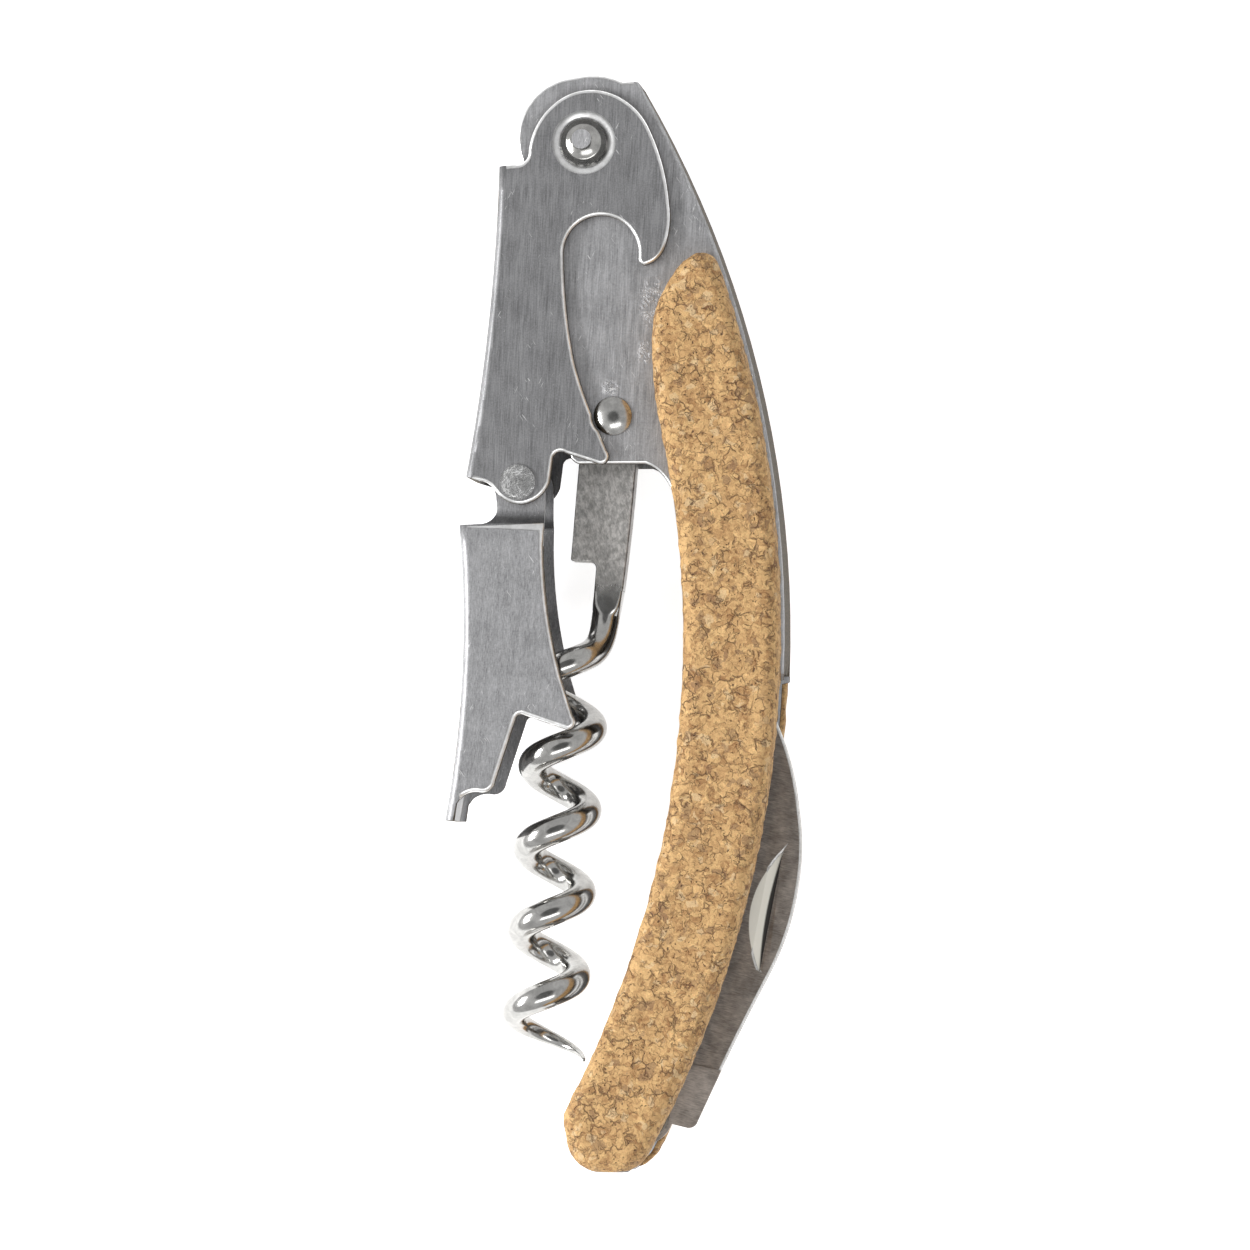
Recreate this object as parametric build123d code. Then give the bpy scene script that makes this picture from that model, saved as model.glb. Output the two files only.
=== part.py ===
"""Waiter's corkscrew, closed: curved cork-covered handle, two-step lever, worm and foil cutter.

Millimetres. The outlines are drawn about the lever pivot, X to the right, Y towards the head, and
Z across the handle with 0 at its middle. At the end every piece moves to the part's own frame:
origin under the middle of the box, on the flat crown of the rear scale.
"""
from build123d import *
from math import atan2, ceil, cos, pi, radians, sin, sqrt
import os

os.makedirs("parts", exist_ok=True)

# ---------------------------------------------------------------- sheet metal, measured across Z
frame_half = 4.6            # outer face of a frame wall
frame_sheet = 1.0
frame_fold = 0.5            # outer radius of the frame's folds
lever_sheet = 0.9
lever_inside = 4.7          # inner face of a lever wall, 0.1 clear of the frame
lever_fold = 0.85           # outer radius of the levers' folds
ear_gap = 0.1               # between a foot ear and the arm wall

frame_inside = frame_half - frame_sheet
lever_half = lever_inside + lever_sheet
ear_half = lever_inside - ear_gap
ear_inside = ear_half - lever_sheet

# ---------------------------------------------------------------- pivots
lever_pivot = Vector(0, 0)
worm_pivot = Vector(2.97, -28.72)
foot_pivot = Vector(-6.95, -35.66)
blade_pivot = Vector(5.4, -101.5)
running_gap = 0.04          # radial clearance of a hole that turns on a rivet
side_gap = 0.05             # across Z, between a turning piece and its neighbour
beyond = 40                 # a length that passes right through any piece

lever_shank_r = 1.4
worm_shank_r = 1.5
foot_shank_r = 1.2
blade_shank_r = 1.25
dish_r = 3.3                # hollow round the lever rivet's head
dish_depth = 0.22
stop_r = 2.15               # the arm's edge is relieved round the worm rivet's head

# ---------------------------------------------------------------- handle
back_centre, back_r = Vector(-94.31, -51.06), 115.3
belly_centre, belly_r = Vector(-93.42, -52.12), 103.8
head_top_y = 6.42
neck_low_y = -30.36         # where the belly's bow turns into the neck
neck_top = (7.16, -20.4)
throat_y = -33.7
web_end_y = -55.8           # below this the back is open for the blade
butt_high_y = -100.8        # where the belly's bow ends
butt_y = -107.75
butt_left = (-0.93, butt_y)
butt_corner_r = [3.5, 3.4, 3.0]
cork_inset = 0.18           # of a scale's back edge from the frame's
cork_crown = (13.45, -10.6)
cork_crown_r = 2.0
scale_thick = 4.0
scale_round = 1.8

# ---------------------------------------------------------------- worm
wire_r = 1.5
worm_outer_r = 4.55
pitch = 8.7
turns = 5.0                 # from the first right extreme to the point
first_turn = 0.12           # where the lead has become the coil
taper_turns = 0.75
taper_power = 1.6
tip_r = 0.15
sections_per_turn = 32
worm_top = Vector(-2.06, -52.5)
worm_lean = 3.78            # degrees, lower end to the left
tang_half = 1.5
tang_round = 0.2
tang_eye_r = 3.0

# ---------------------------------------------------------------- blade
blade_half = 0.6
blade_edge_half = 0.14
nick_start, nick_end = Vector(20.4, -74.4), Vector(18.0, -86.9)
nick_width, nick_depth = 1.9, 0.35


def slab(face, low, high):
    """The face as a solid between two heights."""
    return Pos(0, 0, low) * extrude(face, high - low)


def at(point, z=0.0):
    return Pos(point.X, point.Y, z)


def pin_hole(point, radius):
    return at(point) * Cylinder(radius, beyond)


def tube(point, outer, inner, low, high):
    """A spacer or washer on a rivet, between two heights."""
    ring = Circle(outer) - Circle(inner)
    return at(point, low) * extrude(ring, high - low)


def path(start, *steps):
    """Edges in a row; each step is a line's end, or the middle and the end of an arc."""
    edges = []
    for *middle, end in steps:
        edges.append(ThreePointArc(start, *middle, end) if middle else Line(start, end))
        start = end
    return edges


def bow(centre, radius, *heights):
    """Arc on the right side of a large circle through three heights."""
    return ThreePointArc(*[(centre.X + sqrt(radius ** 2 - (y - centre.Y) ** 2), y) for y in heights])


def web_section(fold_line, reach):
    """The band between an arc and the parallel that lies further from its centre by the reach."""
    centre = fold_line.arc_center
    scale = 1 + reach / fold_line.radius
    inner = [centre + (fold_line @ share - centre) * scale for share in (0, 0.5, 1)]
    return make_face([fold_line, Line(fold_line @ 1, inner[2]), ThreePointArc(*inner[::-1]),
                      Line(inner[0], fold_line @ 0)])


def outer_edges(body, z):
    """The edges that lie at the heights z and -z."""
    return [edge for edge in body.edges()
            if edge.bounding_box().size.Z < 0.01 and abs(abs((edge @ 0.5).Z) - z) < 0.01]


def along(edges, curve):
    """Those of the edges that follow a plane curve."""
    near = 0.02
    return [edge for edge in edges
            if curve.distance_to(Vector((edge @ 0.5).X, (edge @ 0.5).Y)) < near and edge.length > 5]


def folded_channel(outline, fold_line, reach, half, fold):
    """Two walls of one outline, joined by a web along an arc of their edge."""
    inside = half - abs(reach)
    strip = web_section(fold_line, reach) & outline
    body = slab(strip, -half, half) + slab(outline, inside, half) + slab(outline, -half, -inside)
    return fillet(along(outer_edges(body, half), fold_line), fold)


# ---------------------------------------------------------------- handle frame and scales
def belly_edge(top_y):
    return bow(belly_centre, belly_r, butt_high_y, (butt_high_y + top_y) / 2, top_y)


def butt(back, belly):
    """The handle's lower end, tangent to the end of the back and to the start of the belly."""
    end, down = back @ 1, back % 1
    right = end + down * ((butt_y - end.Y) / down.Y)
    upper = belly @ 0 - belly % 0 * 1.2
    return FilletPolyline(end, right, butt_left, upper, belly @ 0, radius=butt_corner_r)


def frame_outline():
    """Head disc round the lever pivot, long back, butt, belly and the throat for the worm."""
    back = bow(back_centre, back_r, head_top_y, back_centre.Y, -105.19)
    belly = belly_edge(-37.5)
    head_left = (-6.6, -1.87)
    throat = path(belly @ 1, [(8.49, -35.3), (6.4, throat_y)], [(-0.6, throat_y)],
                  [(-1.25, -33.35), (-1.6, -32.6)], [head_left])
    head = path(head_left, [(-7.05, 1.0), (-5.99, 4.08)], [(-3.6, 6.25), (-1.01, 6.97)],
                [(1.5, 7.15), (4.0, head_top_y)], [back @ 0])
    return make_face([*head, back, butt(back, belly), belly, *throat])


def handle_frame():
    """Walls all the way down, with a web only above the blade's slot."""
    outline = frame_outline()
    above = Pos(0, web_end_y + 50) * Rectangle(100, 100)
    fold_line = bow(back_centre, back_r, head_top_y, -25, web_end_y)
    upper = folded_channel(outline & above, fold_line, -frame_sheet, frame_half, frame_fold)
    lower = outline - above
    frame = upper + slab(lower, frame_inside, frame_half) + slab(lower, -frame_half, -frame_inside)
    for pivot, shank_r in ((lever_pivot, lever_shank_r), (worm_pivot, worm_shank_r),
                           (blade_pivot, blade_shank_r)):
        frame -= pin_hole(pivot, shank_r)
    return frame


def scale_outline():
    """The cork: between the handle's two bows, with a rounded crown."""
    back = bow(back_centre, back_r - cork_inset, cork_crown[1], -60, -105.19)
    belly = belly_edge(neck_low_y)
    neck = TangentArc(belly @ 1, neck_top, tangent=belly % 1)
    shoulder = TangentArc(neck @ 1, back @ 0, tangent=neck % 1)
    face = make_face([back, butt(back, belly), belly, neck, shoulder])
    return fillet(face.vertices().sort_by_distance(back @ 0)[0], cork_crown_r)


def cork_scale():
    """The front scale; its outer rim is well rounded and its crown is flat."""
    body = slab(scale_outline(), frame_half, frame_half + scale_thick)
    rim = body.faces().sort_by(Axis.Z)[-1].edges()
    return fillet(rim, scale_round)


# ---------------------------------------------------------------- lever
arm_fold_line = ThreePointArc((-12.48, -35.0), (-9.97, -17.5), (-9.0, -2.42))
foot_fold_line = ThreePointArc((-14.64, -71.04), (-12.85, -55.6), (-13.18, -40.1))


def arm_outline():
    """Head, crown-cap hook, cap opening, leg, bottle tooth and the boss round the foot's rivet."""
    head = path(arm_fold_line @ 1, [(-6.95, -2.27)], [(-6.15, -1.8), (-5.85, -0.8)],
                [(-5.13, 1.68), (-3.19, 4.12)], [(-0.72, 5.4), (1.86, 5.46)],
                [(4.7, 4.15), (6.7, 1.75)], [(8.1, -1.8), (8.98, -6.5)])
    claw = path((8.98, -6.5), [(9.03, -8.85), (8.5, -11.09)], [(7.6, -12.38), (6.35, -12.97)],
                [(5.87, -12.66), (5.74, -12.0)], [(5.74, -11.44)])
    opening = path((5.74, -11.44), [(1.9, -7.7), (-2.16, -12.03)], [(-1.85, -17.6), (-1.05, -22.97)],
                   [(0.0, -26.45), (1.3, -29.75)], [(2.4, -32.4)])
    tooth = path((2.4, -32.4), [(2.45, -33.5), (1.6, -33.8)], [(-1.9, -32.65)],
                 [(-2.95, -32.62), (-3.3, -33.5)])
    boss = path((-3.3, -33.5), [(-3.62, -35.66)], [(-4.62, -37.12), (-6.63, -37.98)],
                [(-8.15, -37.6), (-9.41, -36.45)], [(-9.95, -35.9), (-10.8, -35.52)],
                [arm_fold_line @ 0])
    return make_face([*head, *claw, *opening, *tooth, *boss, arm_fold_line])


def lever_arm():
    """First step of the lever: it straddles the frame and carries the foot."""
    arm = folded_channel(arm_outline(), arm_fold_line, lever_sheet, lever_half, lever_fold)
    ball_r = (dish_r ** 2 + dish_depth ** 2) / (2 * dish_depth)
    for side in (1, -1):
        arm -= at(lever_pivot, side * (lever_half - dish_depth + ball_r)) * Sphere(ball_r)
    arm -= pin_hole(lever_pivot, lever_shank_r + running_gap)
    arm -= pin_hole(foot_pivot, foot_shank_r)
    arm -= pin_hole(worm_pivot, stop_r)
    return arm


def foot_outline():
    """Ear, wall with its claw, bottle-rim notch, slanted end and the lip."""
    ear = path(foot_fold_line @ 1, [(-10.87, -39.99)], [(-9.72, -39.5), (-9.22, -38.2)],
               [(-9.35, -36.9)], [(-6.9, -33.15), (-4.2, -36.3)], [(-4.28, -42.34)])
    claw = path((-4.28, -42.34), [(-3.7, -49.9), (-2.4, -56.1)], [(-1.2, -60.1)],
                [(-0.98, -61.15), (-1.8, -61.6)], [(-6.2, -60.1)], [(-6.85, -60.03), (-7.2, -60.5)])
    end = path((-7.2, -60.5), [(-9.35, -67.0)], [(-9.8, -67.85), (-10.8, -68.15)],
               [(-12.4, -68.35), (-13.4, -69.3)], [(-13.65, -71.04)], [foot_fold_line @ 0])
    return make_face([*ear, *claw, *end, foot_fold_line])


def joggled_sheet():
    """The front wall's sheet seen along X: outside the arm's plane below, between its walls above."""
    wall_bend, ear_bend = -40.35, -38.95
    lean = atan2(ear_bend - wall_bend, lever_half - ear_half)
    inner_shift = lever_sheet * (1 - sin(lean)) / cos(lean)
    low, high = -80, -30
    section = Polyline((low, lever_half), (wall_bend, lever_half), (ear_bend, ear_half), (high, ear_half),
                       (high, ear_inside), (ear_bend - inner_shift, ear_inside),
                       (wall_bend - inner_shift, lever_inside), (low, lever_inside), close=True)
    across = Plane(origin=(-beyond / 2, 0, 0), x_dir=(0, 1, 0), z_dir=(1, 0, 0))
    return extrude(across * make_face(section), beyond)


def lever_foot():
    """Second step of the lever: a channel whose two ears are joggled in between the arm's walls."""
    outline = foot_outline()
    front = slab(outline, 0, beyond) & joggled_sheet()
    strip = web_section(foot_fold_line, lever_sheet) & outline
    body = slab(strip, -lever_half, lever_half) + front + mirror(front, Plane.XY)
    body = fillet(along(outer_edges(body, lever_half), foot_fold_line), lever_fold)
    return body - pin_hole(foot_pivot, foot_shank_r + running_gap)


# ---------------------------------------------------------------- worm
lean = radians(worm_lean)
worm_down = Vector(-sin(lean), -cos(lean), 0)
worm_right = Vector(cos(lean), -sin(lean), 0)
toward_front = Vector(0, 0, 1)
coil_r = worm_outer_r - wire_r


def outward(turn):
    """Unit vector from the worm's axis, at the right for a whole turn and to the front a quarter on."""
    return worm_right * cos(2 * pi * turn) + toward_front * sin(2 * pi * turn)


def helix_point(turn, radius):
    return worm_top + worm_down * (pitch * turn) + outward(turn) * radius


def helix_direction(turn, radius):
    return (worm_down * pitch + outward(turn + 0.25) * (2 * pi * radius)).normalized()


def wire_radius(turn):
    """The wire is ground thinner over the last stretch."""
    share = max(0, 1 - (turns - turn) / taper_turns)
    return wire_r + (tip_r - wire_r) * share ** taper_power


def wire_section(turn):
    """Round section whose outer side stays on the coil."""
    radius = wire_radius(turn)
    centre_r = worm_outer_r - radius
    plane = Plane(helix_point(turn, centre_r), x_dir=outward(turn), z_dir=helix_direction(turn, centre_r))
    return plane * Circle(radius)


def worm_coil():
    """Half turns of short straight bands of wire, joined end to end."""
    halves = ceil((turns - first_turn) * 2)
    step = (turns - first_turn) / halves
    bands = round(sections_per_turn * step)
    coil = None
    for half in range(halves):
        start = first_turn + half * step
        piece = loft([wire_section(start + step * band / bands) for band in range(bands + 1)], ruled=True)
        coil = coil + piece if coil else piece
    return coil


def worm_lead():
    """Straight shank under the tang, bent forward into the coil."""
    shank_top, shank_end = Vector(2.25, -45.5), Vector(1.82, -49.3)
    down = (shank_end - shank_top).normalized()
    bend = Spline(shank_end, (1.42, -51.4, 0.5), helix_point(first_turn, coil_r),
                  tangents=(down, helix_direction(first_turn, coil_r)))
    return sweep(Plane(shank_top, z_dir=down) * Circle(wire_r), path=Line(shank_top, shank_end) + bend)


def worm_tang():
    """Flat end of the worm, stepped down to the wire and rounded over its rivet."""
    left, right = worm_pivot.X - tang_eye_r, worm_pivot.X + tang_eye_r
    eye = path((left, -28.9), [(worm_pivot.X, worm_pivot.Y + tang_eye_r), (right, -28.9)])
    right_side = path((right, -28.9), [(5.13, -33.5)], [(4.36, -41.6), (3.29, -50.0)], [(0.41, -50.0)])
    left_side = path((0.41, -50.0), [(0.87, -44.62)], [(0.68, -44.05), (0.25, -43.84)],
                     [(-1.47, -43.75)], [(-1.7, -43.65), (-1.77, -43.37)],
                     [(-1.5, -40.1), (-0.93, -33.53)], [(left, -28.9)])
    return make_face([*eye, *right_side, *left_side])


def worm():
    blank = slab(worm_tang(), -tang_half, tang_half)
    body = fillet(outer_edges(blank, tang_half), tang_round) + worm_lead() + worm_coil()
    return body - pin_hole(worm_pivot, worm_shank_r + running_gap)


# ---------------------------------------------------------------- blade
def blade_outline():
    """Bowed spine outside the handle, squared heel, round tang, and the edge inside the handle."""
    tip, heel, plunge = (19.75, -60.48), (11.9, -101.6), (7.4, -93.6)
    spine = path(tip, [(21.4, -65.2), (22.2, -69.9)], [(22.47, -73.9), (22.12, -77.8)],
                 [(21.04, -82.5), (19.04, -87.2)], [(15.78, -93.5), heel])
    tang = path(heel, [(11.35, -102.75)], [(11.0, -103.12), (10.4, -103.2)], [(8.75, -102.8)],
                [(2.9, -104.09), (3.4, -98.5)], [(5.6, -96.4), plunge])
    edge = path(plunge, [(12.6, -80.2), (16.2, -67.5)], [(17.6, -63.6), tip])
    return make_face([*spine, *tang, *edge])


def grind():
    """Wedge that thins the front face from the spine towards the edge, above a plunge line."""
    heel, point = Vector(12.54, -96.9), Vector(20.3, -60.0)
    length = (point - heel).normalized()
    spine_reach, edge_reach, rise = 4.4, -6.0, blade_half - blade_edge_half
    section = Polyline((spine_reach, blade_half), (spine_reach, beyond), (edge_reach, beyond),
                       (edge_reach, blade_half - rise * 1.2), close=True)
    plane = Plane(heel, x_dir=Vector(length.Y, -length.X), z_dir=length)
    return extrude(plane * make_face(section), beyond)


def nail_nick():
    """Half-moon groove beside the spine, deepest along its straight side."""
    chord = nick_end - nick_start
    reach = chord.length / 2
    side = Vector(chord.Y, -chord.X).normalized()
    slope = nick_depth / nick_width
    middle = nick_start + chord * 0.5
    plane = Plane(Vector(middle.X, middle.Y, blade_half - nick_depth), x_dir=chord.normalized(),
                  z_dir=Vector(-side.X * slope, -side.Y * slope, 1))
    segment = make_face(path((-reach, 0), [(0, -nick_width), (reach, 0)], [(-reach, 0)]))
    return extrude(plane * segment, nick_width)


def blade():
    cut = grind()
    body = slab(blade_outline(), -blade_half, blade_half) - cut - mirror(cut, Plane.XY) - nail_nick()
    return body - pin_hole(blade_pivot, blade_shank_r + running_gap)


# ---------------------------------------------------------------- rivets and spacers
def rivet(point, shank_r, grip, head_r, head_h, brim_r, brim_h):
    """A round shank with a brimmed dome formed on each end."""
    brim_top = grip + brim_h
    top = brim_top + head_h
    ball_r = (head_r ** 2 + head_h ** 2) / (2 * head_h)
    dome_middle = (head_r / 2, top - ball_r + sqrt(ball_r ** 2 - head_r ** 2 / 4))
    half = make_face(path((0, 0), [(shank_r, 0)], [(shank_r, grip)], [(brim_r, grip)],
                          [(brim_r, brim_top)], [(head_r, brim_top)], [dome_middle, (0, top)],
                          [(0, 0)]))
    upper = revolve(Plane.XZ * half, Axis.Z)
    return at(point) * (upper + mirror(upper, Plane.XY))


def pieces():
    """Every piece by name, in the outline's frame."""
    front_scale = cork_scale()
    lever_grip = lever_half - running_gap
    found = {
        "handle_frame": handle_frame(),
        "front_cork_scale": front_scale,
        "rear_cork_scale": mirror(front_scale, Plane.XY),
        "lever_arm": lever_arm(),
        "lever_foot": lever_foot(),
        "worm": worm(),
        "blade": blade(),
        "lever_rivet": rivet(lever_pivot, lever_shank_r, lever_grip, 1.95, 0.7, 2.4, 0.25),
        "worm_rivet": rivet(worm_pivot, worm_shank_r, frame_half, 2.0, 0.75, 2.03, 0.12),
        "foot_rivet": rivet(foot_pivot, foot_shank_r, lever_half, 1.68, 0.12, 1.85, 0.2),
        "blade_rivet": at(blade_pivot) * Cylinder(blade_shank_r, 2 * frame_half),
        "lever_spacer": tube(lever_pivot, 2.3, lever_shank_r, -frame_inside, frame_inside),
        "foot_spacer": tube(foot_pivot, 2.0, foot_shank_r, -ear_inside + side_gap, ear_inside - side_gap),
    }
    for side, name in ((1, "front"), (-1, "rear")):
        for kind, pivot, half, outer, inner in (("worm", worm_pivot, tang_half, 2.8, worm_shank_r),
                                                ("blade", blade_pivot, blade_half, 3.2, blade_shank_r)):
            low, high = sorted((side * (half + side_gap), side * frame_inside))
            found[f"{kind}_washer_{name}"] = tube(pivot, outer, inner, low, high)
    return found


def main():
    found = pieces()
    boxes = [solid.bounding_box() for solid in found.values()]
    low = Vector(*[min(getattr(box.min, axis) for box in boxes) for axis in "XYZ"])
    high = Vector(*[max(getattr(box.max, axis) for box in boxes) for axis in "XYZ"])
    shift = Pos(-(low.X + high.X) / 2, -(low.Y + high.Y) / 2, -low.Z)
    print("lever pivot in the part's frame", shift.position)
    for name, solid in found.items():
        placed = shift * solid
        placed.label = name
        export_step(placed, f"parts/{name}.step")


if __name__ == "__main__":
    main()
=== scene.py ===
import math

import bmesh
import bpy
from bpy.props import FloatProperty, FloatVectorProperty, PointerProperty
from mathutils import Matrix, Vector


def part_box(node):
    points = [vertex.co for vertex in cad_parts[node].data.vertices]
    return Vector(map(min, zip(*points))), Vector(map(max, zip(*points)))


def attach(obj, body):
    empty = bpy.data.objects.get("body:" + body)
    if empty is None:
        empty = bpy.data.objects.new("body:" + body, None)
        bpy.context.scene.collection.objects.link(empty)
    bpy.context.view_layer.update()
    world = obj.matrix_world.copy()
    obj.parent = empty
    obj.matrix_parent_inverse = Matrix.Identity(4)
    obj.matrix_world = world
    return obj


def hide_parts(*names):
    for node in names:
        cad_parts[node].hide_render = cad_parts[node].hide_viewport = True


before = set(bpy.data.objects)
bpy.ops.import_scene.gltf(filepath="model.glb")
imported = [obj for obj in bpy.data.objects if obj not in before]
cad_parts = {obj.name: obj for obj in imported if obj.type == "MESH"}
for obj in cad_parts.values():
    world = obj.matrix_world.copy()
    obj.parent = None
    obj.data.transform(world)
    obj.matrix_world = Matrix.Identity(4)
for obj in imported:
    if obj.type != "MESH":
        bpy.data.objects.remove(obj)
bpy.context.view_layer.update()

bl_info = {
    "name": "Waiter's Corkscrew",
    "version": (1, 0, 0),
    "blender": (4, 5, 0),
    "location": "3D View > Sidebar > Corkscrew",
    "description": "Finishes for a two-step waiter's corkscrew with cork scales",
    "category": "Object",
}

MM = 0.001


# ---------------------------------------------------------------- shader tools
class Wire:
    """A shader socket; arithmetic on it adds Math nodes."""

    def __init__(self, shader, socket):
        self.shader = shader
        self.socket = socket

    def math(self, operation, first, second):
        return self.shader.node("ShaderNodeMath", {"operation": operation}, {0: first, 1: second})

    def __add__(self, other):
        return self.math("ADD", self, other)

    def __sub__(self, other):
        return self.math("SUBTRACT", self, other)

    def __rsub__(self, other):
        return self.math("SUBTRACT", other, self)

    def __mul__(self, other):
        return self.math("MULTIPLY", self, other)

    __radd__ = __add__
    __rmul__ = __mul__

    def most(self, other):
        """The larger of two values."""
        return self.math("MAXIMUM", self, other)

    def over(self, low, high):
        """0 below low, 1 above high, and smooth between."""
        return self.shader.node("ShaderNodeMapRange", {"interpolation_type": "SMOOTHSTEP"},
                                {0: self, 1: low, 2: high, 3: 0.0, 4: 1.0})


class Shader:
    """Builds one material on its Principled node."""

    def __init__(self, name):
        self.material = bpy.data.materials.new(name)
        self.material.use_nodes = True
        self.tree = self.material.node_tree
        self.tree.nodes.clear()
        self.surface = self.tree.nodes.new("ShaderNodeBsdfPrincipled")
        output = self.tree.nodes.new("ShaderNodeOutputMaterial")
        self.tree.links.new(self.surface.outputs[0], output.inputs["Surface"])

    def plug(self, value, socket):
        if isinstance(value, Wire):
            self.tree.links.new(value.socket, socket)
        else:
            socket.default_value = value

    def node(self, kind, settings=None, values=None, output=0):
        """Adds a node, its settings first, and gives one of its outputs."""
        made = self.tree.nodes.new(kind)
        for key, value in (settings or {}).items():
            if key == "stops":
                ramp = made.color_ramp
                while len(ramp.elements) < len(value):
                    ramp.elements.new(0.5)
                for element, (position, colour) in zip(ramp.elements, value):
                    element.position = position
                    element.color = (*colour, 1.0)
            else:
                setattr(made, key, value)
        for key, value in (values or {}).items():
            self.plug(value, made.inputs[key])
        return Wire(self, made.outputs[output])

    def set(self, **values):
        """Sets or links sockets of the Principled node; _ stands for a space."""
        for key, value in values.items():
            self.plug(value, self.surface.inputs[key.replace("_", " ")])

    def vector(self, operation, *values, output=0):
        """Adds a Vector Math node and gives one of its outputs."""
        return self.node("ShaderNodeVectorMath", {"operation": operation},
                         dict(enumerate(values)), output)

    def place(self, stretch=(1, 1, 1), turn=0.0):
        """The part's own coordinates in millimetres, turned about Z and then stretched."""
        here = self.node("ShaderNodeTexCoord", output="Object")
        turned = self.node("ShaderNodeVectorRotate", {"rotation_type": "Z_AXIS"},
                           {"Vector": here, "Angle": turn})
        return self.vector("MULTIPLY", turned, [share / MM for share in stretch])

    def along(self, axis):
        """The part's own X, Y or Z in millimetres."""
        return self.node("ShaderNodeSeparateXYZ", {}, {0: self.place()}, "XYZ".index(axis))

    def grain(self, scale, detail=3.0, roughness=0.5, distortion=0.0, stretch=(1, 1, 1), turn=0.0):
        """Noise in 0..1, its scale in cells per millimetre."""
        values = {"Vector": self.place(stretch, turn), "Scale": scale, "Detail": detail,
                  "Roughness": roughness, "Distortion": distortion}
        return self.node("ShaderNodeTexNoise", {}, values)

    def mix(self, share, first, second, blend="MIX"):
        """A colour between two others, or one blended on the other."""
        first, second = (colour if isinstance(colour, Wire) else (*colour, 1.0)
                         for colour in (first, second))
        return self.node("ShaderNodeMix", {"data_type": "RGBA", "blend_type": blend},
                         {0: share, 6: first, 7: second}, output=2)

    def bump(self, height, distance, strength=1.0, under=None):
        """Normal from a height in 0..1 that stands for a distance in metres."""
        values = {"Height": height, "Distance": distance, "Strength": strength}
        if under is not None:
            values["Normal"] = under
        return self.node("ShaderNodeBump", {}, values)


def around(colour, darker, lighter):
    """A darker and a lighter version of a colour."""
    return [darker * part for part in colour], [min(1.0, lighter * part) for part in colour]


def between(first, second, share):
    """The colour at a share of the way from the first to the second."""
    return [(1 - share) * a + share * b for a, b in zip(first, second)]


# ---------------------------------------------------------------- mesh tools
WELD = 0.002 * MM                 # vertices nearer than this are one
FLAT = 0.0005                     # radians; faces that meet flatter than this are one
WALL = 0.3                        # a face stands across its sheet if its normal's Z is under this
LEVEL = 0.99                      # and lies level if it is over this
FACES_BACK = 0.3                  # a face looks to the handle's back if its normal's X is over this


def dress(node_names, material):
    """Puts one material on CAD nodes."""
    for name in node_names:
        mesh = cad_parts[name].data
        mesh.materials.clear()
        mesh.materials.append(material)


def modify(piece, kind, **settings):
    """Adds one modifier to a piece."""
    modifier = piece.modifiers.new(kind.lower(), kind)
    for key, value in settings.items():
        setattr(modifier, key, value)


def middle(node):
    """The centre of a CAD node's box."""
    low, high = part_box(node)
    return (Vector(low) + Vector(high)) / 2


def cad_copy(node):
    """A CAD node's mesh as a welded bmesh with its flat faces in one piece."""
    bm = bmesh.new()
    bm.from_mesh(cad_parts[node].data)
    bmesh.ops.remove_doubles(bm, verts=bm.verts, dist=WELD)
    bmesh.ops.dissolve_limit(bm, angle_limit=FLAT, verts=bm.verts, edges=bm.edges)
    return bm


def cut_through(bm, place, way, **clear):
    """Cuts a bmesh along a plane, and clears one side of it if asked."""
    whole = bm.verts[:] + bm.edges[:] + bm.faces[:]
    bmesh.ops.bisect_plane(bm, geom=whole, plane_co=place, plane_no=way, **clear)


def close_cuts(bm):
    """Fills the open ends of a bmesh and gives the new faces."""
    open_edges = [edge for edge in bm.edges if edge.is_boundary]
    return bmesh.ops.holes_fill(bm, edges=open_edges)["faces"]


def skin(bm, rows, inward=False, material=0):
    """Faces between closed rows of vertices."""
    for row, after in zip(rows, rows[1:]):
        for index, vert in enumerate(row):
            follower = (index + 1) % len(row)
            corners = (vert, row[follower], after[follower], after[index])
            face = bm.faces.new(corners[::-1] if inward else corners)
            face.material_index = material


def round_off(bm, edges, width, segments):
    """Bevels edges; the new faces get the piece's second material."""
    bmesh.ops.bevel(bm, geom=edges, offset=width, segments=segments, profile=0.5,
                    affect="EDGES", clamp_overlap=False, material=1)


def stand_in(bm, node, body, slot, *materials):
    """Shows a bmesh in place of a CAD node, on its body."""
    mesh = bpy.data.meshes.new(node + "_finished")
    bm.to_mesh(mesh)
    bm.free()
    for material in materials:
        mesh.materials.append(material)
    mesh.polygons.foreach_set("use_smooth", [True] * len(mesh.polygons))
    piece = bpy.data.objects.new(node + "_finished", mesh)
    bpy.context.scene.collection.objects.link(piece)
    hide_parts(node)
    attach(piece, body)
    modify(piece, "WEIGHTED_NORMAL", keep_sharp=True)


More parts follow.
